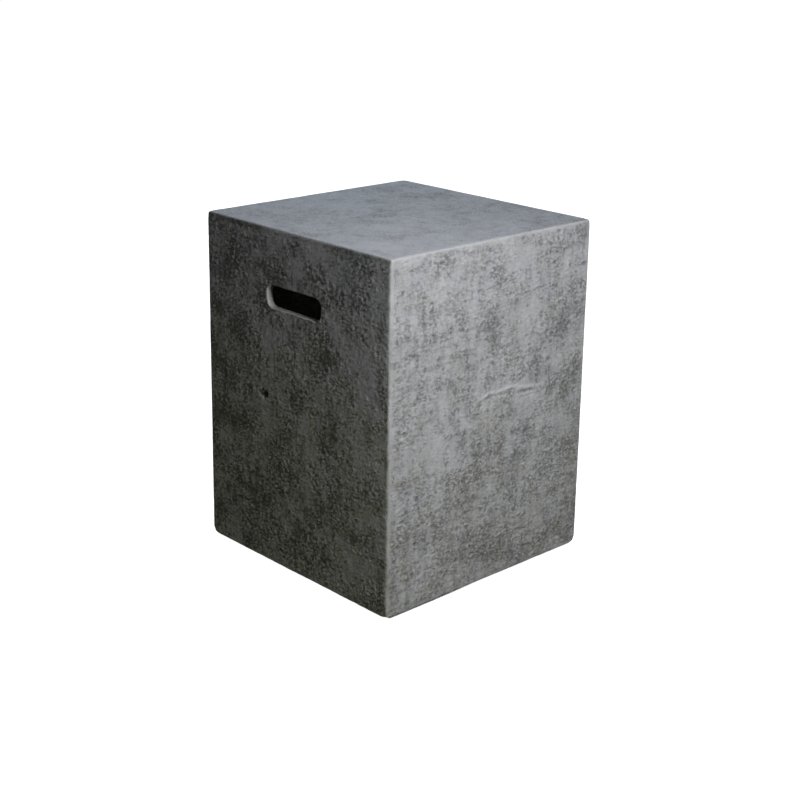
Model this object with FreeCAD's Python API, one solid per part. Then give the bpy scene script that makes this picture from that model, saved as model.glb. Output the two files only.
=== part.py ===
import FreeCAD, Part
import math
import os

# Table that covers a standard 20 lb propane tank: a cast fibre-concrete shell, closed on top and
# open below, that is lifted over the tank by two hand slots and stands on four levelling feet.
# Millimetres. +Z up, origin on the ground at the middle of the footprint.
# -Y is the plain front, -X and +X carry the hand slots, +Y is the back with the hose notch.

# ---- driving dimensions -------------------------------------------------------------------
RIM_WIDTH = 400.0          # across the shell at its lower rim, both ways
TOP_WIDTH = 395.0          # across the shell at the table top: the draft of the mould
TOP_Z = 514.0              # table top above the ground
RIM_Z = 4.0                # gap under the rim when the feet are screwed right in
WALL = 12.0                # side wall thickness
TOP_THICKNESS = 15.0
CORNER_RADIUS = 4.0        # outer upright edges
TOP_EDGE_RADIUS = 3.5
RIM_EDGE_RADIUS = 4.0
RIM_INNER_RADIUS = 2.5
CAVITY_CORNER_RADIUS = 18.0
CAVITY_TOP_RADIUS = 15.0

SLOT_LENGTH = 117.0        # hand slots in the two side walls
SLOT_HEIGHT = 33.5
SLOT_END_RADIUS = 12.5
SLOT_CENTRE_BELOW_TOP = 98.2
SLOT_EDGE_RADIUS = 1.5

NOTCH_WIDTH = 60.0         # hose notch in the rim of the back wall
NOTCH_HEIGHT = 40.0
NOTCH_CORNER_RADIUS = 20.0

FOOT_OFFSET = 167.0        # foot axis from the middle, both ways
BLOCK_INNER = 150.0        # inner faces of the thickened corners, from the middle
BLOCK_Z0 = 14.0            # underside of the thickened corners
BLOCK_Z1 = 50.0            # where their upright inner faces end and the 45 degree slope starts
BLOCK_EDGE_RADIUS = 8.0

INSERT_FLANGE_RADIUS = 10.0
INSERT_FLANGE_THICKNESS = 2.0
INSERT_RADIUS = 7.0
INSERT_GROOVE_RADIUS = 5.8
INSERT_LENGTH = 32.0
INSERT_BORE_RADIUS = 4.05
INSERT_BORE_DEPTH = 29.0

STEM_RADIUS = 4.0          # M8
STEM_TOP_Z = 40.0
STEM_TIP_CHAMFER = 1.0
HEX_ACROSS_FLATS = 13.0
HEX_Z0 = 8.6
HEX_Z1 = 13.6
HEAD_RADIUS = 6.5          # disc on the lower end of the stem, held in the pad
HEAD_Z0 = 2.0
HEAD_Z1 = 5.0

PAD_RADIUS = 14.0
PAD_RIM_Z = 5.0
PAD_HUB_RADIUS = 10.0
PAD_TOP_Z = 8.0
PAD_EDGE_RADIUS = 1.0
RUNNING_CLEARANCE = 0.06   # between the stem and the pad, all round

FEET = [
    ("front_left", -1, -1),
    ("front_right", 1, -1),
    ("back_left", -1, 1),
    ("back_right", 1, 1),
]

V = FreeCAD.Vector
os.makedirs("parts", exist_ok=True)


# ---- helpers ------------------------------------------------------------------------------
def hexahedron(lower, z0, upper, z1):
    """Flat-faced solid between two rectangles (x0, x1, y0, y1), one above the other."""
    x0, x1, y0, y1 = lower
    X0, X1, Y0, Y1 = upper
    solid = Part.makeWedge(x0, z0, -y1, -Y1, X0, x1, z1, -y0, -Y0, X1)
    solid.rotate(V(0, 0, 0), V(1, 0, 0), 90)
    return solid


def square(half):
    return (-half, half, -half, half)


def upright_edges(shape):
    """Edges that join the two rectangles of a hexahedron."""
    return [e for e in shape.Edges if abs(e.Vertexes[0].Z - e.Vertexes[-1].Z) > 1.0]


def level_edges(shape, z):
    return [
        e for e in shape.Edges
        if abs(e.BoundBox.ZMin - z) < 1e-3 and abs(e.BoundBox.ZMax - z) < 1e-3
    ]


def revolved(profile):
    """Solid of revolution about Z from (radius, z) points."""
    points = [V(r, 0, z) for r, z in profile]
    face = Part.Face(Part.makePolygon(points + points[:1]))
    return face.revolve(V(0, 0, 0), V(0, 0, 1), 360)


def outer_half(z):
    """Half width of the shell's outside at height z."""
    share = (z - RIM_Z) / (TOP_Z - RIM_Z)
    return RIM_WIDTH / 2 + share * (TOP_WIDTH - RIM_WIDTH) / 2


def rounded_prism_x(x0, x1, yc, zc, width, height, radius):
    """Prism along X with a rounded rectangle for its section."""
    block = Part.makeBox(x1 - x0, width, height, V(x0, yc - width / 2, zc - height / 2))
    edges = [e for e in block.Edges if abs(e.Vertexes[0].X - e.Vertexes[-1].X) > 1.0]
    return block.makeFillet(radius, edges)


# ---- shell --------------------------------------------------------------------------------
outside = hexahedron(square(outer_half(RIM_Z)), RIM_Z, square(outer_half(TOP_Z)), TOP_Z)
outside = outside.makeFillet(CORNER_RADIUS, upright_edges(outside))
outside = outside.makeFillet(TOP_EDGE_RADIUS, level_edges(outside, TOP_Z))
outside = outside.makeFillet(RIM_EDGE_RADIUS, level_edges(outside, RIM_Z))

CAVITY_TOP_Z = TOP_Z - TOP_THICKNESS
CAVITY_LOW_Z = RIM_Z - 10.0
cavity = hexahedron(
    square(outer_half(CAVITY_LOW_Z) - WALL), CAVITY_LOW_Z,
    square(outer_half(CAVITY_TOP_Z) - WALL), CAVITY_TOP_Z,
)
cavity = cavity.makeFillet(CAVITY_CORNER_RADIUS, upright_edges(cavity))
cavity = cavity.makeFillet(CAVITY_TOP_RADIUS, level_edges(cavity, CAVITY_TOP_Z))

hollowed = outside.cut(cavity)
inner_rim = [
    e for e in level_edges(hollowed, RIM_Z)
    if max(abs(e.BoundBox.XMin), abs(e.BoundBox.XMax),
           abs(e.BoundBox.YMin), abs(e.BoundBox.YMax)) < RIM_WIDTH / 2 - WALL + 0.5
]
hollowed = hollowed.makeFillet(RIM_INNER_RADIUS, inner_rim)

# thickened inner corners: upright faces, then a slope up to the wall
slope_rise = outer_half(BLOCK_Z1) - WALL - BLOCK_INNER + 1.0
blocks = []
for name, sx, sy in FEET:
    def rect(inner):
        xs = sorted((sx * inner, sx * (RIM_WIDTH / 2 - WALL / 2)))
        ys = sorted((sy * inner, sy * (RIM_WIDTH / 2 - WALL / 2)))
        return (xs[0], xs[1], ys[0], ys[1])

    low = hexahedron(rect(BLOCK_INNER), BLOCK_Z0, rect(BLOCK_INNER), BLOCK_Z1)
    slope = hexahedron(
        rect(BLOCK_INNER), BLOCK_Z1,
        rect(BLOCK_INNER + slope_rise), BLOCK_Z1 + slope_rise,
    )
    block = low.fuse(slope).removeSplitter()
    inner_edges = []
    for e in block.Edges:
        p, q = e.Vertexes[0].Point, e.Vertexes[-1].Point
        diagonal = all(abs(abs(t.x) - abs(t.y)) < 1e-6 for t in (p, q))
        inner = min(abs(p.x), abs(q.x)) < BLOCK_INNER + 0.01
        if diagonal and inner and abs(p.z - q.z) > 1.0:
            inner_edges.append(e)
    block = block.makeFillet(BLOCK_EDGE_RADIUS, inner_edges)
    blocks.append(block)

shell = hollowed.fuse(blocks).removeSplitter()

# hand slots, one in each side wall
slot_z = TOP_Z - SLOT_CENTRE_BELOW_TOP
for side in (-1, 1):
    xs = sorted((side * (RIM_WIDTH / 2 - 3 * WALL), side * (RIM_WIDTH / 2 + WALL)))
    slot = rounded_prism_x(xs[0], xs[1], 0, slot_z, SLOT_LENGTH, SLOT_HEIGHT, SLOT_END_RADIUS)
    shell = shell.cut(slot)

slot_edges = []
for e in shell.Edges:
    box = e.BoundBox
    near_slot = (
        box.ZMin > slot_z - SLOT_HEIGHT / 2 - 0.5 and box.ZMax < slot_z + SLOT_HEIGHT / 2 + 0.5
        and box.YMin > -SLOT_LENGTH / 2 - 0.5 and box.YMax < SLOT_LENGTH / 2 + 0.5
    )
    along_wall = box.XMax - box.XMin < 1.0
    if near_slot and along_wall:
        slot_edges.append(e)
shell = shell.makeFillet(SLOT_EDGE_RADIUS, slot_edges)

# hose notch in the back wall, open at the rim
notch = Part.makeBox(
    NOTCH_WIDTH, 4 * WALL, NOTCH_HEIGHT + 20,
    V(-NOTCH_WIDTH / 2, RIM_WIDTH / 2 - 2.5 * WALL, RIM_Z - 20),
)
notch_edges = [
    e for e in notch.Edges
    if abs(e.Vertexes[0].Y - e.Vertexes[-1].Y) > 1.0 and e.Vertexes[0].Z > RIM_Z
]
notch = notch.makeFillet(NOTCH_CORNER_RADIUS, notch_edges)
shell = shell.cut(notch)

# ---- one levelling foot about the Z axis --------------------------------------------------
z0 = BLOCK_Z0
z1 = z0 + INSERT_FLANGE_THICKNESS
z2 = z0 + INSERT_LENGTH
grooves = [(z0 + 9.0, z0 + 13.0), (z0 + 19.0, z0 + 23.0)]
insert_profile = [(0, z0), (INSERT_FLANGE_RADIUS, z0), (INSERT_FLANGE_RADIUS, z1), (INSERT_RADIUS, z1)]
for g0, g1 in grooves:
    insert_profile += [
        (INSERT_RADIUS, g0 - 1.2), (INSERT_GROOVE_RADIUS, g0),
        (INSERT_GROOVE_RADIUS, g1), (INSERT_RADIUS, g1 + 1.2),
    ]
insert_profile += [(INSERT_RADIUS, z2 - 1.0), (INSERT_RADIUS - 1.0, z2), (0, z2)]
insert_outside = revolved(insert_profile)
bore = revolved([
    (0, z0 - 1), (INSERT_BORE_RADIUS + 1.8, z0 - 1), (INSERT_BORE_RADIUS, z0 + 0.8),
    (INSERT_BORE_RADIUS, z0 + INSERT_BORE_DEPTH - 2.0), (0, z0 + INSERT_BORE_DEPTH),
])
insert = insert_outside.cut(bore)

stem = revolved([
    (0, HEAD_Z0), (HEAD_RADIUS, HEAD_Z0), (HEAD_RADIUS, HEAD_Z1), (STEM_RADIUS, HEAD_Z1),
    (STEM_RADIUS, STEM_TOP_Z - STEM_TIP_CHAMFER), (STEM_RADIUS - STEM_TIP_CHAMFER, STEM_TOP_Z),
    (0, STEM_TOP_Z),
])
hex_r = HEX_ACROSS_FLATS / 2 / math.cos(math.pi / 6)
corners = [
    V(hex_r * math.cos(math.pi / 3 * i), hex_r * math.sin(math.pi / 3 * i), HEX_Z0)
    for i in range(6)
]
hexagon = Part.Face(Part.makePolygon(corners + corners[:1])).extrude(V(0, 0, HEX_Z1 - HEX_Z0))
# both ends of the hexagon are turned to a 30 degree chamfer
lead = (hex_r - HEX_ACROSS_FLATS / 2) * math.tan(math.radians(30)) + 0.02
turned = revolved([
    (0, HEX_Z0), (HEX_ACROSS_FLATS / 2, HEX_Z0), (hex_r + 0.03, HEX_Z0 + lead),
    (hex_r + 0.03, HEX_Z1 - lead), (HEX_ACROSS_FLATS / 2, HEX_Z1), (0, HEX_Z1),
])
stem = stem.fuse(hexagon.common(turned)).removeSplitter()

pocket_r = HEAD_RADIUS + RUNNING_CLEARANCE
neck_r = STEM_RADIUS + RUNNING_CLEARANCE
pad_outside = revolved([
    (0, 0), (PAD_RADIUS, 0), (PAD_RADIUS, PAD_RIM_Z - 1.5), (PAD_HUB_RADIUS + 1.0, PAD_RIM_Z),
    (PAD_HUB_RADIUS, PAD_TOP_Z), (0, PAD_TOP_Z),
])
pad_outside = pad_outside.makeFillet(PAD_EDGE_RADIUS, level_edges(pad_outside, 0))
pocket = revolved([
    (0, HEAD_Z0 - RUNNING_CLEARANCE), (pocket_r, HEAD_Z0 - RUNNING_CLEARANCE),
    (pocket_r, HEAD_Z1 + RUNNING_CLEARANCE), (neck_r, HEAD_Z1 + RUNNING_CLEARANCE),
    (neck_r, PAD_TOP_Z + 1), (0, PAD_TOP_Z + 1),
])
pad = pad_outside.cut(pocket)

# ---- assembly and export ------------------------------------------------------------------
nodes = {}
for name, sx, sy in FEET:
    place = V(sx * FOOT_OFFSET, sy * FOOT_OFFSET, 0)
    for part, shape in (("foot_insert", insert), ("foot_stem", stem), ("foot_pad", pad)):
        moved = shape.copy()
        moved.translate(place)
        nodes[part + "_" + name] = moved
    cast_in = insert_outside.copy()
    cast_in.translate(place)
    shell = shell.cut(cast_in)
nodes["cover_shell"] = shell

for name, shape in nodes.items():
    solids = shape.Solids
    print("%-26s solids %d valid %s volume %.1f mm3 box %s" % (
        name, len(solids), shape.isValid(), shape.Volume,
        " ".join("%.2f" % t for t in (
            shape.BoundBox.XMin, shape.BoundBox.XMax, shape.BoundBox.YMin,
            shape.BoundBox.YMax, shape.BoundBox.ZMin, shape.BoundBox.ZMax))))
    if len(solids) != 1 or not shape.isValid():
        raise SystemExit("%s is not one valid solid" % name)
    solids[0].exportStep("parts/%s.step" % name)
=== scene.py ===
import math

import bpy
import numpy as np
from mathutils import Matrix, Vector


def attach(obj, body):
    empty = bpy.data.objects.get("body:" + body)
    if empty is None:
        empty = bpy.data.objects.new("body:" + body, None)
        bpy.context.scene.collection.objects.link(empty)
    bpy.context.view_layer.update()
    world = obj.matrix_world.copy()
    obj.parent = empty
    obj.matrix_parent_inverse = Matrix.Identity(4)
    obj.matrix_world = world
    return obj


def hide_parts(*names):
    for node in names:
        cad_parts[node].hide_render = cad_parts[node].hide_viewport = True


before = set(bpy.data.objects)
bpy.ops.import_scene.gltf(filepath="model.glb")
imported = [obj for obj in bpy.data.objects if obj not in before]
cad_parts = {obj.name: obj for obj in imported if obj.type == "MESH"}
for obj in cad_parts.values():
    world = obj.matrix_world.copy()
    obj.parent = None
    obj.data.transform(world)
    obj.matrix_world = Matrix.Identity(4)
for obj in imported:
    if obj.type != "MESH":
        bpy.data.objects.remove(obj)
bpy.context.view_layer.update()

# ---- the cast shell's shape, in millimetres -------------------------------------------------
RIM_Z, TOP_Z = 4.0, 514.0
RIM_HALF, TOP_HALF = 200.0, 197.5
WALL, TOP_THICK = 12.0, 15.0
R_UP, R_TOP, R_RIM, R_RIM_IN = 4.0, 3.5, 4.0, 2.5
R_CAV, R_CAV_TOP = 18.0, 15.0
SLOT_Z, SLOT_HY, SLOT_HZ, SLOT_R, SLOT_EDGE = 415.8, 58.5, 16.75, 12.5, 1.5
NOTCH_HX, NOTCH_TOP, NOTCH_R, NOTCH_EDGE = 30.0, 44.0, 20.0, 1.2
BLOCK_IN, BLOCK_Z0, BLOCK_Z1 = 150.0, 14.6, 50.0
FOOT = 167.0


def half(z):
    return RIM_HALF + (z - RIM_Z) / (TOP_Z - RIM_Z) * (TOP_HALF - RIM_HALF)


def meet(a, b, r):
    """Both a and b, with the edge between them rounded to r."""
    a, b = a + r, b + r
    return np.minimum(np.maximum(a, b), 0) + np.hypot(np.maximum(a, 0), np.maximum(b, 0)) - r


def blend_union(a, b, k):
    h = np.clip(0.5 + 0.5 * (b - a) / k, 0, 1)
    return b + (a - b) * h - k * h * (1 - h)


def rounded_rect(u, v, hu, hv, r):
    qu, qv = np.abs(u) - (hu - r), np.abs(v) - (hv - r)
    return np.minimum(np.maximum(qu, qv), 0) + np.hypot(np.maximum(qu, 0), np.maximum(qv, 0)) - r


def shell_distance(x, y, z):
    ax, ay = np.abs(x), np.abs(y)
    h = half(z)
    plan = rounded_rect(ax, ay, h, h, R_UP)
    outer = meet(meet(plan, z - TOP_Z, R_TOP), RIM_Z - z, R_RIM)
    cavity = meet(rounded_rect(ax, ay, h - WALL, h - WALL, R_CAV), z - (TOP_Z - TOP_THICK), R_CAV_TOP)
    body = meet(-cavity, RIM_Z - z, R_RIM_IN)
    rise = np.maximum(z - BLOCK_Z1, 0)
    lean = np.where(z > BLOCK_Z1, 0.70710678, 1.0)
    block = meet((BLOCK_IN + rise - ax) * lean, (BLOCK_IN + rise - ay) * lean, 8.0)
    block = meet(block, BLOCK_Z0 - z, 1.5)
    pocket = np.maximum(np.hypot(ax - FOOT, ay - FOOT) - 8.6, z - 47.5)
    block = np.maximum(block, -pocket)
    body = np.maximum(outer, blend_union(body, block, 4.0))
    body = np.where(pocket < 6.0, np.maximum(body, -pocket), body)
    slot = np.maximum(rounded_rect(y, z - SLOT_Z, SLOT_HY, SLOT_HZ, SLOT_R), 150.0 - ax)
    body = meet(body, -slot, SLOT_EDGE)
    notch = np.maximum(rounded_rect(x, z - (NOTCH_TOP - 60.0), NOTCH_HX, 60.0, NOTCH_R), 150.0 - y)
    return meet(body, -notch, NOTCH_EDGE)


# ---- a surface mesh of that shape -----------------------------------------------------------
GRID = 1.5                      # mm between vertices on the outside
CLUMP = 3                       # the plain inside walls are this much coarser


def outer_distance(x, y, z):
    ax, ay = np.abs(x), np.abs(y)
    h = half(z)
    return meet(meet(rounded_rect(ax, ay, h, h, R_UP), z - TOP_Z, R_TOP), RIM_Z - z, R_RIM)


def slope(f, p, eps=0.05):
    x, y, z = p.T
    return np.stack([f(x + eps, y, z) - f(x - eps, y, z), f(x, y + eps, z) - f(x, y - eps, z),
                     f(x, y, z + eps) - f(x, y, z - eps)], 1) / (2 * eps)


def ticks(a, b):
    return a + GRID * np.arange(int(round((b - a) / GRID)) + 1)


def plain_inside(p):
    """The inside walls away from the rim, slots, notch and corner blocks."""
    x, y, z = p.T
    deep = outer_distance(x, y, z) < -8
    slot = rounded_rect(y, z - SLOT_Z, SLOT_HY + 9, SLOT_HZ + 9, SLOT_R)
    clear = (np.abs(x) < 160) | (slot > 0)
    low = (z < 110) & (np.abs(x) > 135) & (np.abs(y) > 135)
    notch = (y > 150) & (np.abs(x) < 45) & (z < 62)
    return deep & clear & ~low & ~notch & (z > 20)


def surface(xs, ys, zs, distance):
    """Quads through the cells that the surface crosses, their corners moved on to the surface."""
    shape = (len(xs), len(ys), len(zs))
    d = np.empty(shape, np.float32)
    x3, y3 = xs[:, None, None].astype(np.float32), ys[None, :, None].astype(np.float32)
    for k in range(0, len(zs), 32):
        d[:, :, k:k + 32] = distance(x3, y3, zs[None, None, k:k + 32].astype(np.float32))
    inside = d < 0
    axes = (xs, ys, zs)
    cells, points, rings = [], [], []
    for axis in range(3):
        lo, hi = [slice(None)] * 3, [slice(None)] * 3
        lo[axis], hi[axis] = slice(0, -1), slice(1, None)
        lo, hi = tuple(lo), tuple(hi)
        cut = inside[lo] != inside[hi]
        where = np.argwhere(cut)
        a, b = d[lo][cut], d[hi][cut]
        point = np.stack([axes[k][where[:, k]] for k in range(3)], 1)
        point[:, axis] += a / (a - b) * GRID
        u, v = [(1, 2), (2, 0), (0, 1)][axis]
        ring = []
        for du, dv in ((1, 1), (0, 1), (0, 0), (1, 0)):
            cell = where.copy()
            cell[:, u] -= du
            cell[:, v] -= dv
            ring.append((cell[:, 0] * shape[1] + cell[:, 1]) * shape[2] + cell[:, 2])
        cells += ring
        points += [point] * 4
        ring = np.stack(ring, 1)
        flip = ~inside[lo][cut]
        ring[flip] = ring[flip][:, ::-1]
        rings.append(ring)
    cells, points, rings = np.concatenate(cells), np.concatenate(points), np.concatenate(rings)
    ids, back = np.unique(cells, return_inverse=True)
    back = back.ravel()
    count = np.bincount(back)
    verts = np.stack([np.bincount(back, points[:, k]) / count for k in range(3)], 1)
    # the plain inside walls in larger steps
    i, j, k = ids // (shape[1] * shape[2]), ids // shape[2] % shape[1], ids % shape[2]
    big = plain_inside(verts)
    group = np.where(big, -1 - ((i // CLUMP) * 4096 + j // CLUMP) * 4096 - k // CLUMP, ids)
    kinds, to = np.unique(group, return_inverse=True)
    to = to.ravel()
    count = np.bincount(to)
    verts = np.stack([np.bincount(to, verts[:, n]) / count for n in range(3)], 1)
    faces = to[np.searchsorted(ids, rings)]
    same = faces == np.roll(faces, -1, 1)
    across = (faces[:, 0] == faces[:, 2]) | (faces[:, 1] == faces[:, 3])
    quads = faces[(same.sum(1) == 0) & ~across]
    three = (same.sum(1) == 1) & ~across
    tris = faces[three]
    drop = np.argmax(same[three], 1)
    keep = np.array([[1, 2, 3], [0, 2, 3], [0, 1, 3], [0, 1, 2]])[drop]
    tris = np.take_along_axis(tris, keep, 1)
    for _ in range(4):
        here = distance(*verts.T)
        g = slope(distance, verts)
        verts -= np.clip(here, -1.2, 1.2)[:, None] * g / np.maximum((g * g).sum(1), 0.25)[:, None]
    return verts, quads, tris


verts, quads, tris = surface(ticks(-201.0, 201.0), ticks(-201.0, 201.0), ticks(2.45, 515.45), shell_distance)

# ---- random relief: bands of noise on flat sheets, and lumps in space --------------------------
STEP, COLS, ROWS = 0.625, 640, 832      # a sheet is 400 mm across and 520 mm down
_fu = np.fft.rfftfreq(COLS, STEP)[None, :]
_fv = np.fft.fftfreq(ROWS, STEP)[:, None]
U, V = np.meshgrid(np.arange(COLS) * STEP, np.arange(ROWS) * STEP)
_gi, _gj = np.meshgrid(np.arange(COLS), np.arange(ROWS))


def smooth(x, a, b):
    t = np.clip((x - a) / (b - a), 0, 1)
    return t * t * (3 - 2 * t)


def band(rng, shortest, longest, stretch_u=1.0, stretch_v=1.0):
    """Random relief with wavelengths between shortest and longest (mm), of unit spread."""
    f = np.hypot(_fu * stretch_u, _fv * stretch_v)
    lo, hi = 1.0 / longest, 1.0 / shortest
    g = np.exp(-((f / hi) ** 4)) * (1 - np.exp(-((f / lo) ** 4)))
    g = g / np.maximum(f, lo * 0.5) ** 0.8
    out = np.fft.irfft2(np.fft.rfft2(rng.standard_normal((ROWS, COLS))) * g, s=(ROWS, COLS))
    return out / out.std()


def blur(m, sigma):
    g = np.exp(-2 * (np.pi * sigma) ** 2 * (_fu ** 2 + _fv ** 2))
    return np.fft.irfft2(np.fft.rfft2(m) * g, s=(ROWS, COLS))


def wrap(m, u, v):
    """m at shifted sample places, joined round at its edges."""
    i, j = np.floor(u).astype(int), np.floor(v).astype(int)
    s, t = u - i, v - j
    i0, i1, j0, j1 = i % COLS, (i + 1) % COLS, j % ROWS, (j + 1) % ROWS
    return (m[j0, i0] * (1 - s) + m[j0, i1] * s) * (1 - t) + (m[j1, i0] * (1 - s) + m[j1, i1] * s) * t


def sample(m, u, v):
    return wrap(m, np.clip(u / STEP, 0, COLS - 1.01), np.clip(v / STEP, 0, ROWS - 1.01))


def lumps(p, size, seed):
    """Smooth random values in space, about size mm apart."""
    table = np.random.default_rng(seed).standard_normal((64, 64, 64)).astype(np.float32)
    q = p / size
    i = np.floor(q).astype(int)
    t = q - i
    t = t * t * (3 - 2 * t)
    total = 0
    for a in (0, 1):
        for b in (0, 1):
            for c in (0, 1):
                w = (t[:, 0] if a else 1 - t[:, 0]) * (t[:, 1] if b else 1 - t[:, 1]) * (t[:, 2] if c else 1 - t[:, 2])
                total = total + w * table[(i[:, 0] + a) % 64, (i[:, 1] + b) % 64, (i[:, 2] + c) % 64]
    return total


def blots(rows, wobble):
    total = np.zeros((ROWS, COLS))
    for cu, cv, ru, rv, amount in rows:
        d = np.sqrt(((U - cu) / ru) ** 2 + ((V - cv) / rv) ** 2) + wobble
        total += amount * smooth(d, 1.35, 0.45)
    return total


def strokes(rows, wobble):
    up, low = np.zeros((ROWS, COLS)), np.zeros((ROWS, COLS))
    for u0, v0, u1, v1, w, a in rows:
        length = math.hypot(u1 - u0, v1 - v0)
        c, s = (u1 - u0) / length, (v1 - v0) / length
        along = (U - u0) * c + (V - v0) * s
        off = (V - v0) * c - (U - u0) * s + wobble
        ends = smooth(along, -6, 10) * smooth(along, length + 5, length - 15) * a
        up = np.maximum(up, np.exp(-(off / w) ** 2) * ends)
        low = np.maximum(low, np.exp(-((off - 1.9 * w) / (1.1 * w)) ** 2) * ends)
    return up, low


def craters(rng, count, where, small, large, stretch=1.25):
    """Little open blisters: a cup with a broken raised rim. Height (mm) and a mask of the cups."""
    h, cups = np.zeros((ROWS, COLS)), np.zeros((ROWS, COLS))
    made = 0
    while made < count:
        cu, cv = rng.uniform(0, COLS * STEP), rng.uniform(0, ROWS * STEP)
        if rng.uniform() > where[min(int(cv / STEP), ROWS - 1), min(int(cu / STEP), COLS - 1)]:
            continue
        made += 1
        r = small + (large - small) * rng.uniform() ** 2.2
        lean, phase, turn = rng.uniform(0.75, 1.0), rng.uniform(0, 6.283), rng.uniform(-0.5, 0.5)
        depth = rng.uniform(0.55, 1.0) * (0.10 + 0.085 * r)
        reach = int(2.1 * r * stretch / STEP) + 1
        i0, i1 = max(int(cu / STEP) - reach, 0), min(int(cu / STEP) + reach + 1, COLS)
        j0, j1 = max(int(cv / STEP) - reach, 0), min(int(cv / STEP) + reach + 1, ROWS)
        du, dv = U[j0:j1, i0:i1] - cu, V[j0:j1, i0:i1] - cv
        a, b = du * math.cos(turn) + dv * math.sin(turn), dv * math.cos(turn) - du * math.sin(turn)
        angle = np.arctan2(b, a)
        d = np.hypot(a / (r * stretch), b / (r * lean)) * (1 + 0.13 * np.sin(2 * angle + phase) + 0.08 * np.sin(3 * angle - phase))
        rim = np.exp(-((d - 1.12) / 0.27) ** 2) * np.clip(0.45 + 0.75 * np.cos(angle - phase), 0, 1)
        cup = smooth(d, 1.05, 0.35)
        h[j0:j1, i0:i1] += depth * (0.75 * rim - cup)
        cups[j0:j1, i0:i1] = np.maximum(cups[j0:j1, i0:i1], cup)
    return h, cups


# Sides: rough and smooth patches and stains (centre across and down, radii, amount), trowel ridges
# (ends, width, height) and voids (centre, radii, depth), in mm.
FRONT = dict(
    rough_rows=[(120, 88, 26, 34, .22), (208, 55, 12, 42, .16), (315, 20, 50, 22, .20), (268, 82, 48, 11, .22),
                (345, 128, 34, 34, .20), (238, 192, 78, 22, .30), (130, 338, 60, 24, .26), (232, 318, 42, 34, .22),
                (325, 372, 52, 42, .22), (110, 440, 100, 46, .16), (265, 465, 110, 26, .20), (50, 232, 26, 30, .14),
                (345, 240, 34, 26, .18), (80, 20, 60, 16, .14), (70, 130, 16, 18, .18), (200, 150, 18, 14, .12)],
    smooth_rows=[(262, 112, 42, 22, .34), (60, 165, 42, 30, .12), (165, 152, 45, 20, .16), (262, 335, 7, 62, .34),
                 (95, 285, 40, 38, .20), (185, 262, 34, 18, .26), (350, 300, 26, 24, .14), (160, 400, 46, 26, .16),
                 (30, 290, 24, 40, .14), (320, 60, 30, 12, .14), (150, 40, 40, 22, .10), (265, 250, 70, 16, .16),
                 (6, 60, 8, 80, .34), (50, 4, 60, 6, .2), (32, 24, 24, 22, .26), (238, 225, 66, 8, .36)],
    ridges=[(168, 227, 200, 222, 3.2, 1.5), (194, 222, 254, 223, 2.8, 1.6), (252, 225, 306, 233, 3.2, 1.3), (258, 238, 308, 238, 1.5, 1.1),
            (352, 236, 397, 240, 1.0, 1.1), (138, 222, 170, 227, .9, .9), (225, 88, 315, 79, 1.3, .8),
            (298, 152, 360, 138, 1.2, .5), (205, 449, 262, 442, 1.5, .9), (250, 266, 300, 250, 1.2, .5),
            (48, 468, 106, 454, 1.2, .6), (285, 374, 325, 352, 1.4, .8), (30, 64, 104, 52, 1.0, .5),
            (8.4, 90, 7.6, 17, .8, 1.5), (7.2, 20, 11, 10, .9, 2.4), (10, 11, 19, 6.4, .9, 2.4), (17, 7, 36, 4.6, .8, 2.2),
            (145, 440, 200, 452, 1.2, .5), (180, 452, 300, 446, 1.0, .6)],
)
LEFT = dict(
    rough_rows=[(300, 110, 45, 60, .16), (345, 60, 30, 30, .12), (60, 70, 50, 50, .14), (90, 190, 60, 60, .14),
                (255, 165, 40, 50, .22), (85, 300, 50, 18, .22), (250, 340, 90, 30, .16), (190, 470, 120, 30, .20),
                (60, 400, 40, 40, .16), (320, 300, 30, 30, .12)],
    smooth_rows=[(205, 52, 24, 28, .34), (287, 115, 14, 26, .26), (62, 82, 20, 24, .20), (22, 190, 12, 60, .26),
                 (335, 300, 35, 22, .14), (50, 330, 40, 40, .14), (340, 430, 45, 40, .16), (160, 250, 40, 26, .14)],
    ridges=[(60, 300, 128, 304, 1.2, .6), (135, 254, 240, 262, 1.1, .6), (160, 352, 232, 356, 1.1, .7),
            (50, 365, 112, 360, 1.1, .6), (50, 45, 148, 38, 1.0, .5), (210, 150, 262, 149, 1.0, .6),
            (130, 452, 182, 455, 1.1, .6), (10, 425, 100, 424, 1.0, .6), (240, 262, 320, 258, 1.0, .5),
            (110, 4.2, 250, 4.6, .5, 1.5)],
    voids=[(133, 247, 9.0, 5.2, 2.9)],
    stains=[(68, 62, 34, 22, 1.3), (40, 90, 26, 16, .9), (150, 60, 26, 12, .6), (212, 46, 18, 20, -2.0),
            (288, 116, 12, 26, -1.6), (60, 236, 62, 26, 1.1), (70, 345, 44, 28, -.9), (75, 300, 66, 12, .7),
            (30, 350, 20, 40, .6), (110, 395, 50, 18, 1.0), (190, 380, 30, 20, .7), (275, 385, 34, 16, 1.2),
            (345, 412, 34, 22, 1.2), (315, 305, 26, 18, 1.0), (180, 465, 60, 26, 1.0), (250, 470, 36, 20, .8),
            (120, 480, 30, 16, .7), (230, 290, 40, 20, .5), (205, 330, 22, 20, -.6), (300, 345, 34, 14, -.5),
            (345, 130, 30, 60, -.6), (320, 220, 46, 40, -.4), (20, 160, 14, 60, .8), (250, 420, 40, 14, -.6),
            (40, 440, 34, 24, -.4), (345, 60, 26, 20, .6), (300, 66, 24, 16, .6)],
    spread=1.85, contrast=1.78, olive_tint=1.0, depth=1.15, flecks=2.0, painted_falloff=1.3, painted_edge_shade=2.8,
)


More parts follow.
